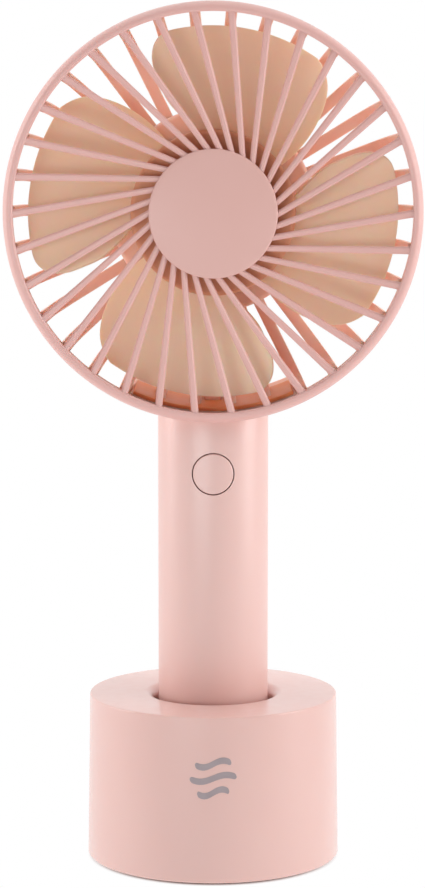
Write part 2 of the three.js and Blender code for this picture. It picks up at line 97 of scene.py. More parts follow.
class Weave:
    """A small builder for one material's node tree."""

    def __init__(self, label: str) -> None:
        """Starts an empty material with a Principled shader and Object coordinates.

        Args:
            label: Name of the material.
        """
        self.material = bpy.data.materials.new(label)
        self.material.use_nodes = True
        self.tree = self.material.node_tree
        self.tree.nodes.clear()
        self.output = self.add("ShaderNodeOutputMaterial")
        self.shader = self.add("ShaderNodeBsdfPrincipled")
        self.coords = self.add("ShaderNodeTexCoord").outputs["Object"]
        self.link(self.shader.outputs["BSDF"], self.output.inputs["Surface"])

    def add(self, kind: str) -> bpy.types.Node:
        """Adds one node of a kind."""
        return self.tree.nodes.new(kind)

    def link(self, source: bpy.types.NodeSocket, target: bpy.types.NodeSocket) -> None:
        """Joins an output to an input."""
        self.tree.links.new(source, target)

    def set(self, **values: float | Colour | tuple[float, float, float]) -> None:
        """Sets constants on the shader's own sockets; underscores stand for spaces."""
        for name, value in values.items():
            self.shader.inputs[name.replace("_", " ")].default_value = value

    def noise(
        self,
        scale: float,
        detail: float = 3.0,
        stretch: tuple[float, float, float] | None = None,
    ) -> bpy.types.NodeSocket:
        """Adds a noise pattern on Object coordinates.

        Args:
            scale: Cells in a metre.
            detail: Octaves of finer noise.
            stretch: Scale along each axis, for brushed or drawn patterns.

        Returns:
            The noise value, about 0.3 to 0.7.
        """
        source = self.coords
        if stretch:
            mapping = self.add("ShaderNodeMapping")
            mapping.inputs["Scale"].default_value = stretch
            self.link(source, mapping.inputs["Vector"])
            source = mapping.outputs["Vector"]
        pattern = self.add("ShaderNodeTexNoise")
        pattern.inputs["Scale"].default_value = scale
        pattern.inputs["Detail"].default_value = detail
        self.link(source, pattern.inputs["Vector"])
        return pattern.outputs["Fac"]

    def spread(
        self, value: bpy.types.NodeSocket, low: float, high: float
    ) -> bpy.types.NodeSocket:
        """Maps a noise value onto a range.

        Args:
            value: The noise value.
            low: What the low end of the noise becomes.
            high: What its high end becomes.

        Returns:
            The mapped value.
        """
        ramp = self.add("ShaderNodeMapRange")
        ramp.inputs["From Min"].default_value, ramp.inputs["From Max"].default_value = NOISE_SPAN
        ramp.inputs["To Min"].default_value = low
        ramp.inputs["To Max"].default_value = high
        self.link(value, ramp.inputs["Value"])
        return ramp.outputs["Result"]

    def colours(self, value: bpy.types.NodeSocket, first: Colour, second: Colour) -> None:
        """Drifts the base colour between two by a noise value.

        Args:
            value: The noise value.
            first: Colour at its low end.
            second: Colour at its high end.
        """
        mix = self.add("ShaderNodeMix")
        mix.data_type = "RGBA"
        self.link(self.spread(value, 0.0, 1.0), mix.inputs["Factor"])
        mix.inputs["A"].default_value = first
        mix.inputs["B"].default_value = second
        for socket in mix.outputs:
            if socket.type == "RGBA":
                self.link(socket, self.shader.inputs["Base Color"])

    def gloss(self, value: bpy.types.NodeSocket, low: float, high: float) -> None:
        """Drifts the roughness between two values."""
        self.link(self.spread(value, low, high), self.shader.inputs["Roughness"])

    def relief(self, value: bpy.types.NodeSocket, strength: float, depth: float) -> None:
        """Raises the surface by a noise value.

        Args:
            value: The height pattern.
            strength: Share of the depth that shows.
            depth: Height of the relief in metres.
        """
        bump = self.add("ShaderNodeBump")
        bump.inputs["Strength"].default_value = strength
        bump.inputs["Distance"].default_value = depth
        self.link(value, bump.inputs["Height"])
        self.link(bump.outputs["Normal"], self.shader.inputs["Normal"])


@dataclass(frozen=True)
class MouldedPlastic:
    """Injection-moulded plastic with the faint spark grain of its tool."""

    label: str
    colour: Colour
    tint: Colour
    roughness: float = 0.4
    grain: float = 0.1
    grain_cells: float = 1500.0
    coat: float = 0.0
    glow: float = 0.0
    shine: float = 0.5

    def build(self) -> bpy.types.Material:
        """Makes the material.

        Returns:
            The finished material.
        """
        weave = Weave(self.label)
        weave.colours(weave.noise(38.0), self.colour, self.tint)
        weave.gloss(weave.noise(420.0, 2.0), self.roughness - 0.04, self.roughness + 0.05)
        weave.relief(weave.noise(self.grain_cells, 2.0), self.grain, 0.03 * MM)
        weave.set(IOR=1.49, Specular_IOR_Level=self.shine)
        weave.set(Coat_Weight=self.coat, Coat_Roughness=0.05)
        if self.glow:
            weave.set(
                Subsurface_Weight=self.glow,
                Subsurface_Radius=(1.0, 0.42, 0.26),
                Subsurface_Scale=2.2 * MM,
            )
        return weave.material


@dataclass(frozen=True)
class DrawnMetal:
    """Turned, drawn or plated metal with fine lines along one axis."""

    label: str
    colour: Colour
    tint: Colour
    roughness: float = 0.34
    lines: tuple[float, float, float] = (1.0, 1.0, 14.0)

    def build(self) -> bpy.types.Material:
        """Makes the material.

        Returns:
            The finished material.
        """
        weave = Weave(self.label)
        marks = weave.noise(900.0, 4.0, self.lines)
        weave.colours(weave.noise(120.0), self.colour, self.tint)
        weave.gloss(marks, self.roughness - 0.04, self.roughness + 0.12)
        weave.relief(marks, 0.1, 0.02 * MM)
        weave.set(Metallic=1.0)
        return weave.material


@dataclass(frozen=True)
class SoftRubber:
    """Matt silicone with a dusty bloom."""

    label: str
    colour: Colour
    tint: Colour

    def build(self) -> bpy.types.Material:
        """Makes the material.

        Returns:
            The finished material.
        """
        weave = Weave(self.label)
        weave.colours(weave.noise(260.0, 5.0), self.colour, self.tint)
        weave.gloss(weave.noise(700.0), 0.7, 0.86)
        weave.relief(weave.noise(3200.0), 0.3, 0.04 * MM)
        weave.set(Sheen_Weight=0.2, Sheen_Roughness=0.5)
        return weave.material


@dataclass(frozen=True)
class CircuitBoard:
    """Solder mask over copper tracks, whose edges show as a faint relief."""

    label: str
    mask: Colour
    track: Colour

    def build(self) -> bpy.types.Material:
        """Makes the material.

        Returns:
            The finished material.
        """
        weave = Weave(self.label)
        cells = weave.add("ShaderNodeTexVoronoi")
        cells.distance = "CHEBYCHEV"
        cells.inputs["Scale"].default_value = 520.0
        weave.link(weave.coords, cells.inputs["Vector"])
        weave.colours(cells.outputs["Distance"], self.mask, self.track)
        weave.gloss(weave.noise(600.0), 0.3, 0.42)
        weave.relief(cells.outputs["Distance"], 0.4, 0.05 * MM)
        return weave.material


@dataclass(frozen=True)
class PrintedInk:
    """Screen-printed ink with a slightly uneven film."""

    label: str
    colour: Colour
    tint: Colour

    def build(self) -> bpy.types.Material:
        """Makes the material.

        Returns:
            The finished material.
        """
        weave = Weave(self.label)
        weave.colours(weave.noise(300.0), self.colour, self.tint)
        weave.gloss(weave.noise(900.0), 0.42, 0.55)
        weave.relief(weave.noise(3000.0), 0.1, 0.01 * MM)
        return weave.material


class Finish(Enum):
    """Every finish on the object, by its maker's name."""

    SHELL = MouldedPlastic(
        "satin_shell", paint(231, 189, 181), paint(233, 192, 184), 0.34, glow=0.1, shine=1.0
    )
    DOCK = MouldedPlastic(
        "polished_dock", paint(228, 186, 178), paint(230, 189, 181), 0.33,
        grain=0.04, grain_cells=260.0, coat=0.45, glow=0.12,
    )
    # Painted shade: the grille and the cap take the shell's pink a touch darker, for the head
    # getting less light than the handle.
    GRILLE = MouldedPlastic(
        "grille_pink_painted_shade", paint(225, 177, 170), paint(227, 180, 173), 0.36, glow=0.1, shine=0.6
    )
    CAP = MouldedPlastic("cap_pink_painted_shade", paint(224, 177, 168), paint(226, 180, 172), 0.4)
    # The shell's pink, a little lighter and warmer: the guard's own plastic, with painted light on
    # the fins in the bowl's shade and painted warm bounce light.
    GUARD = MouldedPlastic(
        "guard_pink_painted_lift", paint(243, 200, 184), paint(245, 204, 189), 0.5, glow=0.45, shine=0.2
    )
    # Painted shade: a deep orange for a sheet over the saddle's inner face, standing in for the
    # shade and warm bounce light deep in the head.
    LINING = MouldedPlastic(
        "saddle_painted_shade", paint(252, 160, 110), paint(253, 165, 117), 0.5, glow=0.6, shine=0.2
    )
    BLADE = MouldedPlastic(
        "satin_blade", paint(255, 227, 199), paint(255, 230, 204), 0.46, glow=0.6
    )
    # Painted shade: a browner copy of the blade plastic, for the hub's face lying in the cap's
    # shadow.
    HUB = MouldedPlastic(
        "hub_painted_shade", paint(232, 172, 136), paint(234, 176, 141), 0.5, glow=0.2, shine=0.25
    )
    STEEL = DrawnMetal("plain_steel", paint(196, 198, 202), paint(176, 178, 182))
    GOLD = DrawnMetal("plated_contact", paint(226, 188, 112), paint(214, 172, 96), 0.33)
    BUSH = DrawnMetal("sintered_bronze", paint(176, 132, 78), paint(158, 116, 66), 0.42)
    WINDING = DrawnMetal(
        "varnished_copper", paint(190, 104, 58), paint(160, 84, 46), 0.34, (14.0, 1.0, 1.0)
    )
    SILICONE = SoftRubber("foot_silicone", paint(222, 212, 208), paint(210, 200, 196))
    MAGNET = SoftRubber("bonded_ferrite", paint(74, 74, 78), paint(60, 60, 64))
    BLACK = MouldedPlastic("black_nylon", paint(30, 30, 32), paint(38, 38, 40), 0.5)
    WRAP = MouldedPlastic(
        "cell_wrap", paint(62, 104, 168), paint(70, 112, 176), 0.33, 0.05, coat=0.4
    )
    BOARD = CircuitBoard("solder_mask", paint(22, 84, 52), paint(40, 112, 70))
    INK = PrintedInk("motif_ink", paint(160, 146, 149), paint(168, 154, 157))

    def material(self) -> bpy.types.Material:
        """The finish's material, made the first time it is asked for."""
        return material_of(self)


@lru_cache(maxsize=None)
def material_of(finish: Finish) -> bpy.types.Material:
    """Builds a finish's material once and keeps it for the next piece."""
    return finish.value.build()


# ------------------------------------------------------------------ the bench


class Axis(Enum):
    """The two axes that round pieces are turned about."""

    FAN = (0.0, 1.0, 0.0)
    UPRIGHT = (0.0, 0.0, 1.0)


@dataclass
class Bench:
    """Modelling moves that several sub-assemblies share."""

    head_z: float

    def centre(self, axis: Axis) -> Vector:
        """A point on an axis."""
        return Vector((0.0, 0.0, self.head_z if axis is Axis.FAN else 0.0))

    def at(self, axis: Axis, radius: float, height: float, angle: float = 0.0) -> Vector:
        """Finds a point by its radius, its place along the axis and its angle.

        Args:
            axis: The axis that the radius is measured from.
            radius: Distance from the axis.
            height: Y on the fan's axis, Z on the upright one.
            angle: Clockwise from the top as seen from the front on the fan's axis, and
                anticlockwise from +X as seen from above on the upright one.

        Returns:
            The point in the row frame.
        """
        if axis is Axis.FAN:
            across = Vector((radius * math.sin(angle), height, radius * math.cos(angle)))
        else:
            across = Vector((radius * math.cos(angle), radius * math.sin(angle), height))
        return self.centre(axis) + across

    def wire(self, name: str, points: Sequence[Vector]) -> bpy.types.Object:
        """Extrudes a chain of edges through some points, and stays in edit mode.

        Args:
            name: Name of the new object.
            points: The chain's points, in order.

        Returns:
            The new object, in edit mode with its last point selected.
        """
        clear_selection()
        bpy.ops.mesh.primitive_plane_add(size=MM)
        piece = bpy.context.object
        piece.name = name
        bpy.ops.object.mode_set(mode="EDIT")
        bpy.ops.mesh.merge(type="CENTER")
        bpy.ops.transform.translate(value=points[0])
        for before, after in zip(points, points[1:]):
            bpy.ops.mesh.extrude_region_move(
                TRANSFORM_OT_translate={"value": after - before}
            )
        return piece

    def turned(
        self,
        name: str,
        profile: Sequence[Point2],
        axis: Axis,
        steps: int = 128,
        middle: float = 0.0,
        sweep: float = math.tau,
    ) -> bpy.types.Object:
        """Spins a profile into a solid. The spin runs backwards from where it starts.

        Args:
            name: Name of the piece.
            profile: Radius and height pairs. A profile that does not reach the axis closes
                on itself.
            axis: The axis to turn about.
            steps: Steps in the sweep.
            middle: Angle at the middle of a part turn.
            sweep: Angle of the turn.

        Returns:
            The closed piece.
        """
        part_turn = sweep < math.tau
        start = middle + sweep / 2 if part_turn else middle
        points = [self.at(axis, r, h, start) for r, h in profile]
        closed = profile[0][0] > WELD or profile[-1][0] > WELD
        if closed:
            points.append(points[0])
        piece = self.wire(name, points)
        bpy.ops.mesh.select_all(action="SELECT")
        bpy.ops.mesh.remove_doubles(threshold=WELD)
        if part_turn:
            bpy.ops.mesh.edge_face_add()
        bpy.ops.mesh.spin(
            steps=steps, angle=sweep, center=self.centre(axis), axis=axis.value
        )
        close_up()
        return piece

    def bar(
        self, name: str, outline: Sequence[Vector], depth: Vector
    ) -> bpy.types.Object:
        """Fills a closed outline and extrudes it.

        Args:
            name: Name of the piece.
            outline: Corner points in one plane, in order.
            depth: How far and which way to extrude.

        Returns:
            The closed piece.
        """
        piece = self.wire(name, [*outline, outline[0]])
        bpy.ops.mesh.select_all(action="SELECT")
        bpy.ops.mesh.remove_doubles(threshold=WELD)
        bpy.ops.mesh.edge_face_add()
        bpy.ops.mesh.extrude_region_move(TRANSFORM_OT_translate={"value": depth})
        close_up()
        return piece

    def rod(
        self, name: str, axis: Axis, radius: float, span: Point2, place: Point2 = (0.0, 0.0),
        sides: int = 48,
    ) -> bpy.types.Object:
        """A solid rod for cutting holes or for shanks.

        Args:
            name: Name of the rod.
            axis: Direction of the rod.
            radius: Radius of the rod.
            span: Its two ends along the axis.
            place: X and Z of a rod along the fan's axis, or X and Y of an upright one.
            sides: Facets round the rod.

        Returns:
            The rod.
        """
        clear_selection()
        middle = sum(span) / 2
        if axis is Axis.FAN:
            where = (place[0], middle, place[1])
            turn = (math.pi / 2, 0.0, 0.0)
        else:
            where = (place[0], place[1], middle)
            turn = (0.0, 0.0, 0.0)
        bpy.ops.mesh.primitive_cylinder_add(
            vertices=sides, radius=radius, depth=span[1] - span[0], location=where,
            rotation=turn,
        )
        rod = bpy.context.object
        rod.name = name
        settle_transform(rod)
        return rod

    def block(self, name: str, low: Sequence[float], high: Sequence[float]) -> bpy.types.Object:
        """Makes a box between two corners.

        Args:
            name: Name of the box.
            low: Its lowest corner.
            high: Its highest corner.

        Returns:
            The box.
        """
        clear_selection()
        size = [b - a for a, b in zip(low, high)]
        middle = [(a + b) / 2 for a, b in zip(low, high)]
        bpy.ops.mesh.primitive_cube_add(size=1.0, location=middle, scale=size)
        block = bpy.context.object
        block.name = name
        settle_transform(block)
        return block

    def around(
        self, piece: bpy.types.Object, count: int, first: float = 0.0
    ) -> list[bpy.types.Object]:
        """Copies a piece evenly round the fan's axis, each copy with its own mesh.

        Args:
            piece: The piece at the top of the circle. It becomes the first copy.
            count: How many there are in all.
            first: Clockwise angle of the first one.

        Returns:
            All the copies.
        """
        centre = Matrix.Translation(self.centre(Axis.FAN))
        copies = []
        for index in range(count):
            angle = first + index * math.tau / count
            copy = piece.copy()
            copy.data = piece.data.copy()
            bpy.context.scene.collection.objects.link(copy)
            turn = Matrix.Rotation(angle, 4, "Y")
            copy.data.transform(centre @ turn @ centre.inverted())
            copies.append(copy)
        bpy.data.objects.remove(piece)
        return copies


def clear_selection() -> None:
    """Leaves edit mode and deselects everything."""
    if bpy.context.object and bpy.context.object.mode != "OBJECT":
        bpy.ops.object.mode_set(mode="OBJECT")
    bpy.ops.object.select_all(action="DESELECT")


def pick(piece: bpy.types.Object) -> None:
    """Makes one piece the only selected and the active one."""
    clear_selection()
    piece.select_set(True)
    bpy.context.view_layer.objects.active = piece


def close_up() -> None:
    """Welds doubles, turns every face outwards and leaves edit mode."""
    bpy.ops.mesh.select_all(action="SELECT")
    bpy.ops.mesh.remove_doubles(threshold=WELD)
    bpy.ops.mesh.normals_make_consistent(inside=False)
    bpy.ops.object.mode_set(mode="OBJECT")


def settle_transform(piece: bpy.types.Object) -> None:
    """Moves a piece's place, turn and size into its mesh."""
    pick(piece)
    bpy.ops.object.transform_apply(location=True, rotation=True, scale=True)


def modify(piece: bpy.types.Object, kind: str, **settings: object) -> None:
    """Adds a modifier with some settings and applies it.

    Args:
        piece: The piece to change.
        kind: The modifier's type.
        **settings: Values for its properties.
    """
    pick(piece)
    modifier = piece.modifiers.new(kind.lower(), kind)
    for name, value in settings.items():
        setattr(modifier, name, value)
    bpy.ops.object.modifier_apply(modifier=modifier.name)


def bevel(
    piece: bpy.types.Object, width: float, segments: int = 3, angle: float = 30.0,
    clamp: bool = True,
) -> None:
    """Rounds the edges of a piece that turn by more than an angle.

    Args:
        piece: The piece to round.
        width: Width of the rounding.
        segments: Facets across it.
        angle: Least turn between two faces, in degrees.
        clamp: Whether a rounding stops where it would meet its neighbour.
    """
    modify(
        piece, "BEVEL", width=width, segments=segments, limit_method="ANGLE",
        angle_limit=math.radians(angle), use_clamp_overlap=clamp, harden_normals=False,
    )


def cut(piece: bpy.types.Object, tool: bpy.types.Object, how: str = "DIFFERENCE") -> None:
    """Cuts, joins or keeps what a tool shares with a piece, and removes the tool.

    Args:
        piece: The piece to work on.
        tool: The other solid.
        how: DIFFERENCE, UNION or INTERSECT.
    """
    modify(piece, "BOOLEAN", operation=how, solver="EXACT", object=tool)
    bpy.data.objects.remove(tool)


def join(name: str, pieces: Sequence[bpy.types.Object]) -> bpy.types.Object:
    """Joins pieces that are moulded as one.

    Args:
        name: Name of the joined piece.
        pieces: The pieces, of which the first one stays.

    Returns:
        The joined piece.
    """
    pick(pieces[0])
    for piece in pieces[1:]:
        piece.select_set(True)
    bpy.ops.object.join()
    whole = bpy.context.object
    whole.name = name
    return whole


def arc(centre: Point2, radius: Point2, start: float, end: float, count: int) -> list[Point2]:
    """Points on a round stretch of a profile.

    Args:
        centre: Centre of the curve.
        radius: Its two radii, equal for a circle.
        start: First angle in degrees, anticlockwise from the first coordinate's axis.
        end: Last angle in degrees.
        count: How many points it has.

    Returns:
        The points in order.
    """
    points = []
    for index in range(count):
        angle = math.radians(start + (end - start) * index / (count - 1))
        points.append(
            (
                centre[0] + radius[0] * math.cos(angle),
                centre[1] + radius[1] * math.sin(angle),
            )
        )
    return points


def curve(first: Point2, pull: Point2, last: Point2, count: int) -> list[Point2]:
    """Points on a quadratic curve between two points, bent towards a third.

    Args:
        first: Where the curve starts.
        pull: The point that it bends towards.
        last: Where it ends.
        count: How many points it has.

    Returns:
        The points in order.
    """
    points = []
    for index in range(count):
        t = index / (count - 1)
        weights = ((1 - t) ** 2, 2 * t * (1 - t), t**2)
        points.append(
            tuple(sum(w * p[axis] for w, p in zip(weights, (first, pull, last))) for axis in (0, 1))
        )
    return points


def hand_over(
    piece: bpy.types.Object,
    finish: Finish,
    body: str,
    replaces: Iterable[str] = (),
    smooth_angle: float = 32.0,
) -> bpy.types.Object:
    """Dresses a finished piece and lets it ride on its body.

    Args:
        piece: The piece, with its place in its mesh.
        finish: Its finish.
        body: The frame's body that it moves with.
        replaces: The frame's nodes that it stands for.
        smooth_angle: Edges that turn by less than this, in degrees, are shaded smooth.

    Returns:
        The same piece.
    """
    pick(piece)
    bpy.ops.object.shade_smooth_by_angle(angle=math.radians(smooth_angle))
    piece.data.materials.clear()
    piece.data.materials.append(finish.material())
    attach(piece, body)
    if replaces:
        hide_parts(*replaces)
    log.info("%s: %d faces on %s", piece.name, len(piece.data.polygons), body)
    return piece


# ------------------------------------------------------------------ head


@dataclass
class FrontGrille:
    """Round ring, straight ribs that miss the centre, the plate behind the cap and the cap."""

    bench: Bench
    ring_outer: float = 49.0 * MM
    ring_inner: float = 46.5 * MM
    ring_front: float = -16.6 * MM
    ring_back: float = -9.0 * MM
    rib_count: int = 34
    rib_offset: float = 7.8 * MM
    rib_front: float = -16.1 * MM
    rib_back: float = -13.4 * MM
    rib_width_out: float = 1.7 * MM
    rib_width_in: float = 1.35 * MM
    plate_radius: float = 14.2 * MM
    cap_radius: float = 15.0 * MM
    cap_front: float = -17.4 * MM
    crown: float = 0.9 * MM

    def ring(self) -> bpy.types.Object:
        """The outer ring, rounded outside and with a small lip inside.

        Returns:
            The ring.
        """
        profile = [
            (self.ring_inner, self.ring_front + 0.45 * MM),
            (self.ring_inner + 0.35 * MM, self.ring_front + 0.08 * MM),
            (self.ring_inner + 0.8 * MM, self.ring_front),
            *arc(
                (self.ring_outer - 1.7 * MM, self.ring_front + 3.2 * MM),
                (1.7 * MM, 3.2 * MM), -78, 0, 9,
            ),
            (self.ring_outer - 0.15 * MM, self.ring_back + 0.3 * MM),
            (self.ring_outer - 0.45 * MM, self.ring_back),
            (self.ring_inner + 0.6 * MM, self.ring_back),
        ]
        return self.bench.turned("ring", profile, Axis.FAN, 204)

    def rib(self) -> bpy.types.Object:
        """One rib of the swirl, drawn for the top of the circle.

        Returns:
            The rib.
        """
        top = self.bench.head_z
        outer = math.sqrt((self.ring_inner + 0.8 * MM) ** 2 - self.rib_offset**2)
        inner = math.sqrt((self.plate_radius - 0.6 * MM) ** 2 - self.rib_offset**2)
        near, far = self.rib_width_in / 2, self.rib_width_out / 2
        corners = [
            Vector((self.rib_offset - near, self.rib_back, top + inner)),
            Vector((self.rib_offset + near, self.rib_back, top + inner)),
            Vector((self.rib_offset + far, self.rib_back, top + outer)),
            Vector((self.rib_offset - far, self.rib_back, top + outer)),
        ]
        rib = self.bench.bar("rib", corners, Vector((0, self.rib_front - self.rib_back, 0)))
        bevel(rib, 0.42 * MM, 1)
        return rib

    def cap(self) -> bpy.types.Object:
        """The gently crowned cap with a rounded rim and a peg behind.

        Returns:
            The cap.
        """
        back = self.rib_front - GAP + 0.1 * MM
        cap = self.bench.turned(
            "cap_front",
            [
                *[
                    (self.cap_radius * share, self.cap_front + self.crown * share**2)
                    for share in (0.0, 0.12, 0.25, 0.38, 0.5, 0.62, 0.74, 0.85, 0.93)
                ],
                *arc(
                    (self.cap_radius - 0.4 * MM, self.cap_front + self.crown + 0.35 * MM),
                    (0.4 * MM, 0.4 * MM), -75, 0, 6,
                ),
                (self.cap_radius, back),
                (12.8 * MM, back),
                (12.8 * MM, -15.9 * MM),
                (2.5 * MM, -15.9 * MM),
                (2.5 * MM, -13.8 * MM),
                (0.0, -13.8 * MM),
            ],
            Axis.FAN,
            160,
        )
        return cap

    def build(self) -> None:
        """Models the grille and the cap."""
        lead = math.asin(self.rib_offset / self.ring_inner)
        first = math.pi / self.rib_count - lead
        ribs = self.bench.around(self.rib(), self.rib_count, first)
        plate = self.bench.turned(
            "plate",
            [
                (2.9 * MM, -15.6 * MM),
                (self.plate_radius, -15.6 * MM),
                (self.plate_radius, self.rib_back),
                (2.9 * MM, self.rib_back),
            ],
            Axis.FAN,
            102,
        )
        grille = join("grille_front", [self.ring(), plate, *ribs])
        # Both take darker copies of the shell's pink: painted shade on the head.
        hand_over(grille, Finish.GRILLE, "fan", ["front_grille"])
        hand_over(self.cap(), Finish.CAP, "fan", ["centre_cap"])


@dataclass
class RearGuard:
    """Bowl of fins behind the rotor, with the motor housing, the saddle and the neck."""

    bench: Bench
    rib_count: int = 34
    fin_width: float = 2.7 * MM
    cup_radius: float = 24.4 * MM
    cup_front: float = 3.5 * MM
    cup_back: float = 18.5 * MM
    saddle_sweep: float = math.radians(50)
    neck_radius: float = 10.6 * MM
    neck_bottom: float = 101.0 * MM

    def fin(self) -> bpy.types.Object:
        """One fin of the bowl, drawn for the top of the circle.

        Returns:
            The fin.
        """
        outside = curve((47.9 * MM, 1 * MM), (46.6 * MM, 10.4 * MM), (38 * MM, 10.8 * MM), 9)
        inside = curve((38 * MM, 8.4 * MM), (45 * MM, 8 * MM), (45.6 * MM, 1 * MM), 9)
        outline = [
            (48.2 * MM, -6 * MM),
            *outside,
            (23.4 * MM, 11.6 * MM),
            (23.4 * MM, 9.2 * MM),
            *inside,
            (46.6 * MM, -6 * MM),
        ]
        top = self.bench.head_z
        points = [Vector((-self.fin_width / 2, y, top + r)) for r, y in outline]
        fin = self.bench.bar("fin", points, Vector((self.fin_width, 0, 0)))
        bevel(fin, 0.35 * MM, 2)
        return fin

    def shell(self) -> bpy.types.Object:
        """Rim, saddle, motor housing, lead channel and neck, moulded with the fins.

        Returns:
            All of them as one piece.
        """
        bench = self.bench
        rim = bench.turned(
            "rim",
            [
                (47.2 * MM, -8.7 * MM),
                (48.5 * MM, -8.7 * MM),
                (48.4 * MM, -5.6 * MM),
                (48.0 * MM, -5.2 * MM),
                (47.2 * MM, -5.2 * MM),
            ],
            Axis.FAN,
            204,
        )
        cup = bench.turned(
            "cup",
            [
                (3.4 * MM, self.cup_front),
                (self.cup_radius - 1.2 * MM, self.cup_front),
                *arc(
                    (self.cup_radius - 1.2 * MM, self.cup_front + 1.2 * MM),
                    (1.2 * MM, 1.2 * MM), -70, 0, 5,
                ),
                (self.cup_radius, self.cup_back - 0.2 * MM),
                (self.cup_radius - 0.2 * MM, self.cup_back),
                (22.6 * MM, self.cup_back),
                (22.6 * MM, self.cup_front + 2 * MM),
                (3.4 * MM, self.cup_front + 2 * MM),
            ],
            Axis.FAN,
            136,
        )
        top = bench.head_z
        channel = bench.block(
            "channel", (-2 * MM, 5.2 * MM, top - 46.4 * MM), (2 * MM, 9.8 * MM, top - 23.6 * MM)
        )
        bevel(channel, 0.5 * MM, 3)
        neck = bench.turned(
            "neck",
            [
                (self.neck_radius - 1.8 * MM, self.neck_bottom),
                (self.neck_radius, self.neck_bottom),
                (self.neck_radius, top - 47.6 * MM),
                (self.neck_radius - 1.8 * MM, top - 47.6 * MM),
            ],
            Axis.UPRIGHT,
            96,
        )
        cut(neck, bench.rod("clear", Axis.FAN, 49.3 * MM, (-20 * MM, -8.7 * MM), (0, top), 204))
        return join("shell", [rim, self.saddle(), cup, channel, neck])

    def saddle(self) -> bpy.types.Object:
        """The wall over the handle's upper end.

        Returns:
            The saddle.
        """
        saddle = self.bench.turned(
            "saddle",
            [
                (46.5 * MM, -8.6 * MM),
                (48.5 * MM, -8.6 * MM),
                (48.5 * MM, 12.6 * MM),
                *curve((44.2 * MM, 12.6 * MM), (46.5 * MM, 7.0 * MM), (46.5 * MM, -1 * MM), 9),
            ],
            Axis.FAN,
            40,
            math.pi,
            self.saddle_sweep,
        )
        bevel(saddle, 1.1 * MM, 5, 35)
        return saddle

    def shade_sheet(self) -> bpy.types.Object:
        """A thin sheet over the saddle's inner face, coloured deeper than the fins: painted shade
        and painted warm bounce light for this recess deep in the head.

        Returns:
            The sheet of painted shade.
        """
        shade_sheet = self.bench.turned(
            "saddle_shade_sheet",
            [
                (46.0 * MM, -8.4 * MM),
                (47.0 * MM, -8.4 * MM),
                (47.0 * MM, 9.0 * MM),
                *curve((45.0 * MM, 9.6 * MM), (45.9 * MM, 5.5 * MM), (46.0 * MM, -1 * MM), 7),
            ],
            Axis.FAN,
            40,
            math.pi,
            self.saddle_sweep - math.radians(2),
        )
        bevel(shade_sheet, 0.2 * MM, 3, 35)
        return shade_sheet

    def build(self) -> None:
        """Models the guard and its motor cover."""
        fins = self.bench.around(self.fin(), self.rib_count, math.pi / self.rib_count)
        guard = join("guard_rear", [self.shell(), *fins])
        # A sheet of painted shade and painted warm bounce light over the saddle's inner face.
        hand_over(self.shade_sheet(), Finish.LINING, "fan")
        # The guard and the motor cover take the lighter, warmer copy of the shell's pink: painted
        # light and painted bounce light.
        hand_over(guard, Finish.GUARD, "fan", ["rear_guard"])
        cover = self.bench.turned(
            "motor_cover",
            [
                (0.0, 18.8 * MM),
                (20.8 * MM, 18.8 * MM),
                (20.8 * MM, 16.0 * MM),
                (22.3 * MM, 16.0 * MM),
                (22.3 * MM, 18.8 * MM),
                (self.cup_radius - 0.15 * MM, 18.8 * MM),
                *arc(
                    (self.cup_radius - 1.3 * MM, 19.0 * MM), (1.3 * MM, 1.1 * MM), 0, 80, 7
                ),
                (20.0 * MM, 20.25 * MM),
                (12.0 * MM, 20.38 * MM),
                (0.0, 20.4 * MM),
            ],
            Axis.FAN,
            136,
        )
        hand_over(cover, Finish.GUARD, "fan", ["rear_motor_cover"])


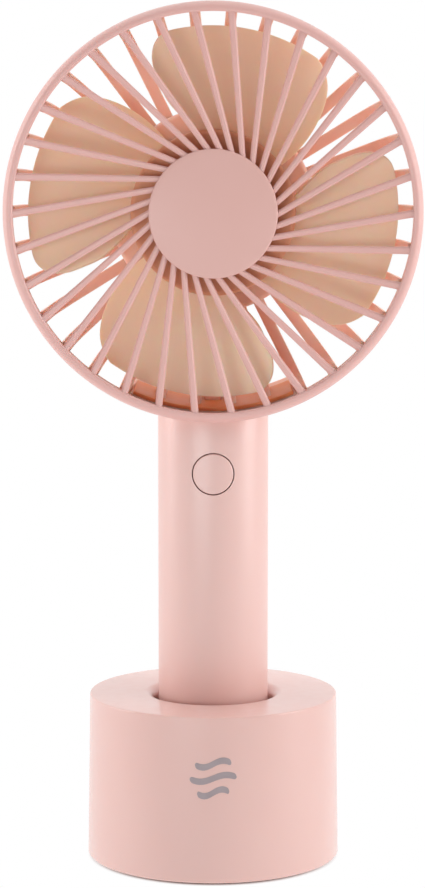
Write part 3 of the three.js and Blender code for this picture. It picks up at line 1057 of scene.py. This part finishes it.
@dataclass
class Rotor:
    """Cup-shaped hub with four broad twisted blades."""

    bench: Bench
    hub_radius: float = 19.4 * MM
    hub_front: float = -11.5 * MM
    hub_back: float = 2.5 * MM
    tip_radius: float = 43.5 * MM
    blade_count: int = 4
    start_angle: float = math.radians(-22.5)
    front_depth: float = -10.2 * MM
    twist_depth: float = 12.2 * MM
    thickness: float = 1.3 * MM
    root_radius: float = 20 * MM
    waist_depth: float = 10.6 * MM
    corner_radius: float = 34.6 * MM
    waist_degrees: float = 10.0
    corner_degrees: float = 9.0
    span_degrees: float = 78.2
    sweep_degrees: float = 16.0
    shoulder_degrees: float = 5.5
    twist_degrees: float = 82.0

    def trailing(self, radius: float) -> float:
        """Finds the straight edge, which draws in at the root and has a rounded tip corner.

        Args:
            radius: Distance from the axis.

        Returns:
            The edge's angle in degrees.
        """
        inward = max(0.0, 1 - (radius - self.root_radius) / self.waist_depth)
        corner = (radius - self.corner_radius) / (self.tip_radius - self.corner_radius)
        corner = min(1.0, max(0.0, corner))
        rounding = 1 - math.sqrt(1 - corner**2)
        return self.waist_degrees * inward**2 + self.corner_degrees * rounding

    def leading(self, radius: float) -> float:
        """Finds the swept edge, with a rounded shoulder at the tip.

        Args:
            radius: Distance from the axis.

        Returns:
            The edge's angle in degrees.
        """
        share = max(0.0, (radius - self.root_radius) / (self.tip_radius - self.root_radius))
        swept = self.sweep_degrees * share**1.5 + self.shoulder_degrees * share**12
        return self.span_degrees - swept

    def blade(self) -> bpy.types.Object:
        """One blade: a grid laid over its outline, twisted, thickened and rounded.

        Returns:
            The blade.
        """
        clear_selection()
        bpy.ops.mesh.primitive_grid_add(x_subdivisions=40, y_subdivisions=30, size=1.0)
        blade = bpy.context.object
        blade.name = "blade"
        root = self.hub_radius - 0.8 * MM
        for vertex in blade.data.vertices:
            share = 1 - (0.5 - vertex.co.y) ** 1.35
            radius = root + share * (self.tip_radius - root)
            start, end = self.trailing(radius), self.leading(radius)
            degrees = start + (end - start) * (vertex.co.x + 0.5)
            depth = self.front_depth + self.twist_depth * degrees / self.twist_degrees
            angle = self.start_angle + math.radians(degrees)
            vertex.co = self.bench.at(Axis.FAN, radius, depth, angle)
        modify(blade, "SOLIDIFY", thickness=self.thickness, offset=0.0)
        bevel(blade, 0.4 * MM, 3, 50)
        pick(blade)
        bpy.ops.object.mode_set(mode="EDIT")
        close_up()
        return blade

    def build(self) -> None:
        """Models the rotor."""
        hub = self.bench.turned(
            "rotor_hub",
            [
                (0.0, self.hub_front),
                (self.hub_radius - 1.2 * MM, self.hub_front),
                *arc(
                    (self.hub_radius - 1.2 * MM, self.hub_front + 1.2 * MM),
                    (1.2 * MM, 1.2 * MM), -80, 0, 6,
                ),
                (self.hub_radius, self.hub_back),
                (self.hub_radius - 1.6 * MM, self.hub_back),
                (self.hub_radius - 1.6 * MM, self.hub_front + 1.6 * MM),
                (3.2 * MM, self.hub_front + 1.6 * MM),
                (3.2 * MM, self.hub_back - GAP),
                (1.3 * MM, self.hub_back - GAP),
                (1.3 * MM, self.hub_front + 1.2 * MM),
                (0.0, self.hub_front + 1.2 * MM),
            ],
            Axis.FAN,
            128,
        )
        # The hub wears the browner copy of the blade plastic: painted shade under the cap.
        hand_over(hub, Finish.HUB, "rotor")
        blades = join("rotor_blades", self.bench.around(self.blade(), self.blade_count))
        hand_over(blades, Finish.BLADE, "rotor", ["fan_rotor"])


# ------------------------------------------------------------------ handle


@dataclass
class Handle:
    """Two half shells with side seams, the end cap and the flush round button."""

    bench: Bench
    radius: float = 13.2 * MM
    wall: float = 1.6 * MM
    shell_bottom: float = 10.8 * MM
    bottom: float = 8.7 * MM
    button_z: float = 94.7 * MM
    button_radius: float = 4.8 * MM
    head_clear: float = 49.03 * MM
    shell_top: float = 112 * MM
    row_count: int = 9
    row_step: float = 0.8 * MM
    screw_x: float = 3.5 * MM
    screw_z: float = 104 * MM
    contact_x: float = 4 * MM
    steps: int = 72

    def half(self, name: str, middle: float) -> bpy.types.Object:
        """One half shell, its top hollowed to fit the head.

        Args:
            name: Name of the shell.
            middle: Angle that the shell faces.

        Returns:
            The half shell.
        """
        seam = math.asin(GAP / 2 / self.radius)
        inner = self.radius - self.wall
        rows = [
            self.button_z + row * self.row_step
            for row in range(-self.row_count, self.row_count + 1)
        ]
        shell = self.bench.turned(
            name,
            [
                (inner, self.shell_bottom),
                (self.radius, self.shell_bottom),
                *[(self.radius, row) for row in rows],
                (self.radius, self.shell_top),
                (inner, self.shell_top),
            ],
            Axis.UPRIGHT,
            self.steps,
            middle,
            math.pi - 2 * seam,
        )
        head = (0.0, self.bench.head_z)
        cut(shell, self.bench.rod("clear", Axis.FAN, self.head_clear, (-0.04, 0.04), head, 204))
        return shell

    def button(self) -> bpy.types.Object:
        """The button: a stem whose face follows the handle, and its flange.

        Returns:
            The button.
        """
        face, edge, back = -self.radius, 0.28 * MM, -9.5 * MM
        rings = [self.button_radius * share for share in (0.0, 0.2, 0.4, 0.6, 0.8, 0.93)]
        stem = self.bench.turned(
            "button_face",
            [
                *[(ring, face) for ring in rings],
                *arc((self.button_radius - edge, face + edge), (edge, edge), -90, 0, 5),
                (self.button_radius, back),
                (0.0, back),
            ],
            Axis.FAN,
            96,
        )
        lower = self.button_z - self.bench.head_z
        stem.data.transform(Matrix.Translation((0.0, 0.0, lower)))
        for vertex in stem.data.vertices:
            if vertex.co.y < back - edge:
                vertex.co.y += self.radius - math.sqrt(self.radius**2 - vertex.co.x**2)
        flange = self.bench.rod(
            "flange", Axis.FAN, 5.8 * MM, (-9.7 * MM, -8.7 * MM), (0, self.button_z), 96
        )
        bevel(flange, 0.15 * MM, 2)
        return join("button_face", [stem, flange])

    def build(self) -> None:
        """Models the handle."""
        bench = self.bench
        front = self.half("handle_front", -math.pi / 2)
        hole = bench.rod(
            "hole", Axis.FAN, self.button_radius + GAP * 0.8, (-20 * MM, -5 * MM),
            (0, self.button_z), 96,
        )
        bevel(front, 0.14 * MM, 2, 40)
        cut(front, hole)
        rear = self.half("handle_rear", math.pi / 2)
        pad = bench.block(
            "pad", (-6.2 * MM, 10.9 * MM, 101.4 * MM), (6.2 * MM, 12.2 * MM, 106.6 * MM)
        )
        cut(pad, bench.rod("round", Axis.UPRIGHT, 12.8 * MM, (0.0, 0.12), sides=96), "INTERSECT")
        cut(rear, pad, "UNION")
        for place in ((-self.screw_x, self.screw_z), (self.screw_x, self.screw_z)):
            cut(rear, bench.rod("hole", Axis.FAN, 1.1 * MM, (8 * MM, 14 * MM), place, 32))
            cut(rear, bench.rod("sink", Axis.FAN, 1.8 * MM, (11.6 * MM, 16 * MM), place))
        bevel(rear, 0.14 * MM, 2, 40, clamp=False)
        hand_over(front, Finish.SHELL, "fan", ["handle_front_shell"])
        hand_over(rear, Finish.SHELL, "fan", ["handle_rear_shell"])
        hand_over(self.button(), Finish.SHELL, "button", ["power_button"])
        hand_over(self.end_cap(), Finish.SHELL, "fan", ["handle_end_cap"])

    def end_cap(self) -> bpy.types.Object:
        """The plug at the bottom, with sockets for the charging contacts.

        Returns:
            The plug.
        """
        cap = self.bench.turned(
            "end_cap",
            [
                (0.0, self.bottom),
                (self.radius - 0.9 * MM, self.bottom),
                *arc(
                    (self.radius - 0.9 * MM, self.bottom + 0.9 * MM),
                    (0.9 * MM, 0.9 * MM), -80, 0, 6,
                ),
                (self.radius, self.shell_bottom - GAP),
                (11.3 * MM, self.shell_bottom - GAP),
                (11.3 * MM, 13.0 * MM),
                (0.0, 13.0 * MM),
            ],
            Axis.UPRIGHT,
            144,
        )
        for x in (-self.contact_x, self.contact_x):
            cut(cap, self.bench.rod("socket", Axis.UPRIGHT, 2.5 * MM, (8 * MM, 14 * MM), (x, 0)))
        bevel(cap, 0.15 * MM, 2, 40, clamp=False)
        return cap


# ------------------------------------------------------------------ dock


@dataclass
class Dock:
    """Weighted round dock: polished shell with a well, base plate, foot and inlet."""

    bench: Bench
    radius_bottom: float = 30.4 * MM
    radius_top: float = 29.8 * MM
    foot_proud: float = 0.6 * MM
    top: float = 40.0 * MM
    wall: float = 2.0 * MM
    edge: float = 0.4 * MM
    well: float = 14.3 * MM
    mouth: float = 2.5 * MM
    guide: float = 13.6 * MM
    guide_top: float = 23.2 * MM
    floor: float = 8.4 * MM
    inlet_z: float = 6.8 * MM
    contact_x: float = 4 * MM
    motif_z: float = 25.6 * MM

    def shell(self) -> bpy.types.Object:
        """Outer wall, top and well in one moulding, with the inlet's opening.

        Returns:
            The shell.
        """
        under_top = self.top - 2.4 * MM
        shell = self.bench.turned(
            "dock_body",
            [
                (0.0, self.floor - 2 * MM),
                (self.guide + 1.8 * MM, self.floor - 2 * MM),
                (self.guide + 1.8 * MM, 22 * MM),
                (self.well + 1.8 * MM, 24 * MM),
                (self.well + 1.8 * MM, under_top),
                (self.radius_top - self.wall, under_top),
                (self.radius_bottom - self.wall, self.foot_proud),
                (self.radius_bottom - 0.25 * MM, self.foot_proud),
                (self.radius_bottom, self.foot_proud + 0.3 * MM),
                *arc(
                    (self.radius_top - self.edge, self.top - self.edge),
                    (self.edge, self.edge), 0, 90, 8,
                ),
                *arc(
                    (self.well + self.mouth, self.top - self.mouth),
                    (self.mouth, self.mouth), 90, 180, 12,
                ),
                (self.well, self.guide_top + 1.4 * MM),
                (self.guide, self.guide_top),
                (self.guide, self.floor),
                (0.0, self.floor),
            ],
            Axis.UPRIGHT,
            192,
        )
        cut(
            shell,
            self.bench.block(
                "opening", (-4.9 * MM, 25 * MM, self.inlet_z - 1.9 * MM),
                (4.9 * MM, 35 * MM, self.inlet_z + 1.9 * MM),
            ),
        )
        for x in (-self.contact_x, self.contact_x):
            hole = self.bench.rod("hole", Axis.UPRIGHT, 1.8 * MM, (6 * MM, 9 * MM), (x, 0))
            cut(shell, hole)
        return shell

    def inlet(self) -> bpy.types.Object:
        """The charging inlet: a folded metal shell with round ends.

        Returns:
            The inlet.
        """
        socket = self.bench.block(
            "inlet_shell", (-4.5 * MM, 21.6 * MM, self.inlet_z - 1.6 * MM),
            (4.5 * MM, 29.6 * MM, self.inlet_z + 1.6 * MM),
        )
        self.round_ends(socket, 1.5 * MM)
        mouth = self.bench.block(
            "mouth", (-4.1 * MM, 23 * MM, self.inlet_z - 1.2 * MM),
            (4.1 * MM, 31 * MM, self.inlet_z + 1.2 * MM),
        )
        self.round_ends(mouth, 1.15 * MM)
        cut(socket, mouth)
        return socket

    @staticmethod
    def round_ends(block: bpy.types.Object, radius: float) -> None:
        """Rounds the four edges of a block that run along Y.

        Args:
            block: The block to round.
            radius: Radius of the rounding.
        """
        pick(block)
        bpy.ops.object.mode_set(mode="EDIT")
        bpy.ops.mesh.select_mode(type="EDGE")
        bpy.ops.mesh.select_all(action="DESELECT")
        bpy.ops.object.mode_set(mode="OBJECT")
        for edge in block.data.edges:
            a, b = (block.data.vertices[i].co for i in edge.vertices)
            edge.select = abs(a.y - b.y) > MM
        bpy.ops.object.mode_set(mode="EDIT")
        bpy.ops.mesh.bevel(offset=radius, segments=6, affect="EDGES")
        bpy.ops.mesh.select_mode(type="VERT")
        close_up()

    def build(self) -> None:
        """Models the dock."""
        bench = self.bench
        hand_over(self.shell(), Finish.DOCK, "dock", ["dock_shell"])
        hand_over(self.inlet(), Finish.STEEL, "dock", ["dock_inlet"])
        tongue = bench.block(
            "inlet_tongue", (-3.2 * MM, 23.2 * MM, self.inlet_z - 0.35 * MM),
            (3.2 * MM, 28.6 * MM, self.inlet_z + 0.35 * MM),
        )
        bevel(tongue, 0.12 * MM, 2)
        hand_over(tongue, Finish.BLACK, "dock")
        foot = bench.turned(
            "foot_ring",
            [(23.4 * MM, 0.9 * MM), (23.4 * MM, 0.0), (27.4 * MM, 0.0), (27.4 * MM, 0.9 * MM)],
            Axis.UPRIGHT,
            128,
        )
        bevel(foot, 0.25 * MM, 3)
        hand_over(foot, Finish.SILICONE, "dock", ["dock_foot_ring"])
        self.motif()

    def motif(self) -> None:
        """A plain printed mark on the front: three short wavy lines for moving air."""
        lines = []
        for row, (length, lift) in enumerate(((8.5, 3.4), (11.0, 0.0), (7.5, -3.4))):
            lines.append(self.ink_line(f"line_{row}", length * MM, self.motif_z + lift * MM))
        motif = join("dock_motif", lines)
        hand_over(motif, Finish.INK, "dock")

    def ink_line(self, name: str, length: float, height: float) -> bpy.types.Object:
        """One wavy line of ink wrapped round the dock's front.

        Args:
            name: Name of the line.
            length: Its length along the dock's face.
            height: Height of its middle above the floor.

        Returns:
            The thin closed line.
        """
        clear_selection()
        bpy.ops.mesh.primitive_grid_add(x_subdivisions=48, y_subdivisions=4, size=1.0)
        line = bpy.context.object
        line.name = name
        for vertex in line.data.vertices:
            along, across = vertex.co.x * 2, vertex.co.y * 2
            end = max(0.0, abs(along) - 0.86) / 0.14
            width = 0.75 * MM * math.sqrt(max(0.02, 1 - end**2))
            z = height + 0.8 * MM * math.sin(along * math.pi * 0.9) + across * width
            x = along * length / 2
            face = self.radius_at(z) + 0.03 * MM
            angle = -math.pi / 2 + x / face
            vertex.co = self.bench.at(Axis.UPRIGHT, face, z, angle)
        modify(line, "SOLIDIFY", thickness=0.06 * MM, offset=0.0)
        return line

    def radius_at(self, height: float) -> float:
        """Outer radius of the drafted wall at a height."""
        share = (height - self.foot_proud) / (self.top - self.foot_proud)
        return self.radius_bottom + (self.radius_top - self.radius_bottom) * share


# ------------------------------------------------------------------ pieces kept from the frame


@dataclass
class InnerWorks:
    """The frame's own pieces inside the fan and the dock, which only take a finish."""

    nodes: dict[str, bpy.types.Object]
    finishes: dict[str, Finish] = field(
        default_factory=lambda: {
            "dock_base_plate": Finish.DOCK,
            "ballast_ring": Finish.STEEL,
            "dock_board": Finish.BOARD,
            "dock_screw": Finish.STEEL,
            "pin_barrel": Finish.GOLD,
            "contact_pin": Finish.GOLD,
            "charge_pad": Finish.GOLD,
            "battery_cell": Finish.WRAP,
            "battery_tab": Finish.STEEL,
            "control_board": Finish.BOARD,
            "switch_": Finish.BLACK,
            "neck_screw": Finish.STEEL,
            "motor_shaft": Finish.STEEL,
            "shaft_spacer": Finish.BUSH,
            "motor_armature": Finish.WINDING,
            "motor_can": Finish.STEEL,
            "motor_magnet": Finish.MAGNET,
            "motor_end_bell": Finish.BLACK,
            "motor_bush": Finish.BUSH,
            "motor_leads": Finish.BLACK,
            "motor_screw": Finish.STEEL,
        }
    )

    def dress(self) -> None:
        """Gives every kept node the finish that its name starts with."""
        for name, node in self.nodes.items():
            for start, finish in self.finishes.items():
                if name.startswith(start):
                    node.data.materials.clear()
                    node.data.materials.append(finish.material())
                    log.info("%s keeps its shape in %s", name, finish.name)


# ------------------------------------------------------------------ studio


@dataclass
class Studio:
    """White sweep, soft light from both sides and the camera."""

    camera_place: Vector = field(default_factory=lambda: Vector((-0.00015, -0.6665, 0.182)))
    camera_tilt: float = math.radians(90 - 6.99)
    lens: float = 113.47
    light_target: Vector = field(default_factory=lambda: Vector((0.0, 0.0, 0.1)))
    white_from: float = 28.5 * MM
    white_beyond: float = 30.8 * MM
    glow_front: float = 0.05
    glow_behind: float = 1.1

    def camera(self) -> None:
        """Places the camera a little above the dock, tilted slightly down."""
        clear_selection()
        bpy.ops.object.camera_add(
            location=self.camera_place, rotation=(self.camera_tilt, 0.0, 0.0)
        )
        camera = bpy.context.object
        camera.data.lens = self.lens
        camera.data.sensor_width = 36.0
        bpy.context.scene.camera = camera

    def softbox(self, name: str, place: Sequence[float], size: Point2, power: float) -> None:
        """Hangs one soft light that faces the middle of the fan.

        Args:
            name: Name of the light.
            place: Its centre.
            size: Width and height.
            power: Watts.
        """
        clear_selection()
        away = Vector(place) - self.light_target
        bpy.ops.object.light_add(
            type="AREA", location=place, rotation=away.to_track_quat("Z", "Y").to_euler()
        )
        lamp = bpy.context.object
        lamp.name = name
        lamp.data.shape = "RECTANGLE"
        lamp.data.size, lamp.data.size_y = size
        lamp.data.energy = power

    def surround(self) -> None:
        """White all round: brightest behind the fan, dimmer on the camera's side."""
        world = bpy.data.worlds.new("surround")
        bpy.context.scene.world = world
        world.use_nodes = True
        tree = world.node_tree
        tree.nodes.clear()
        output = tree.nodes.new("ShaderNodeOutputWorld")
        sky = tree.nodes.new("ShaderNodeBackground")
        coords = tree.nodes.new("ShaderNodeTexCoord")
        split = tree.nodes.new("ShaderNodeSeparateXYZ")
        fade = tree.nodes.new("ShaderNodeMapRange")
        fade.inputs["From Min"].default_value = -0.8
        fade.inputs["From Max"].default_value = 0.6
        fade.inputs["To Min"].default_value = self.glow_front
        fade.inputs["To Max"].default_value = self.glow_behind
        seen = tree.nodes.new("ShaderNodeLightPath")
        mix = tree.nodes.new("ShaderNodeMix")
        mix.inputs["B"].default_value = 1.0
        sky.inputs["Color"].default_value = (1.0, 1.0, 1.0, 1.0)
        tree.links.new(coords.outputs["Generated"], split.inputs["Vector"])
        tree.links.new(split.outputs["Y"], fade.inputs["Value"])
        tree.links.new(seen.outputs["Is Camera Ray"], mix.inputs["Factor"])
        tree.links.new(fade.outputs["Result"], mix.inputs["A"])
        tree.links.new(mix.outputs["Result"], sky.inputs["Strength"])
        tree.links.new(sky.outputs["Background"], output.inputs["Surface"])

    def floor(self) -> None:
        """A wide pale floor."""
        clear_selection()
        bpy.ops.mesh.primitive_plane_add(size=6.0, location=(0.0, 0.0, 0.0))
        floor = bpy.context.object
        floor.name = "floor"
        weave = Weave("studio_floor")
        weave.colours(weave.noise(6.0), (0.93, 0.93, 0.93, 1.0), (0.95, 0.95, 0.95, 1.0))
        weave.set(Roughness=0.6)
        self.whiten(weave)
        floor.data.materials.append(weave.material)

    def whiten(self, weave: Weave) -> None:
        """Fades the floor into the white surround away from the dock.

        Args:
            weave: The floor's material under construction.
        """
        reach = weave.add("ShaderNodeVectorMath")
        reach.operation = "LENGTH"
        weave.link(weave.coords, reach.inputs[0])
        fade = weave.add("ShaderNodeMapRange")
        fade.interpolation_type = "SMOOTHSTEP"
        fade.inputs["From Min"].default_value = self.white_from
        fade.inputs["From Max"].default_value = self.white_beyond
        weave.link(reach.outputs["Value"], fade.inputs["Value"])
        white = weave.add("ShaderNodeEmission")
        blend = weave.add("ShaderNodeMixShader")
        weave.link(fade.outputs["Result"], blend.inputs[0])
        weave.link(weave.shader.outputs["BSDF"], blend.inputs[1])
        weave.link(white.outputs["Emission"], blend.inputs[2])
        weave.link(blend.outputs["Shader"], weave.output.inputs["Surface"])

    def build(self) -> None:
        """Sets the studio up."""
        view = bpy.context.scene.view_settings
        view.view_transform = "Standard"
        view.look = "None"
        self.surround()
        self.floor()
        self.softbox("key_right", (0.78, -0.16, 0.25), (0.4, 0.9), 4.7)
        self.softbox("rim_left", (-0.8, 0.1, 0.3), (0.4, 0.9), 2.8)
        self.softbox("top", (0.0, -0.16, 1.0), (0.9, 0.7), 1.9)
        self.softbox("front", (-0.36, -0.84, 0.09), (0.5, 0.24), 2.1)


def main() -> None:
    """Loads the frame, sets the studio and models every sub-assembly to the frame's measures."""
    logging.basicConfig(level=logging.INFO, format="%(name)s: %(message)s")
    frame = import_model()
    studio = Studio()
    studio.camera()
    low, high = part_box("front_grille")
    bench = Bench(head_z=(low.z + high.z) / 2)
    FrontGrille(bench, ring_outer=(high.x - low.x) / 2).build()
    RearGuard(bench).build()
    Rotor(bench).build()
    Handle(bench).build()
    Dock(bench, top=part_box("dock_shell")[1].z).build()
    InnerWorks(frame["nodes"]).dress()
    studio.build()
    bpy.context.view_layer.update()


if __name__ == "__main__":
    main()
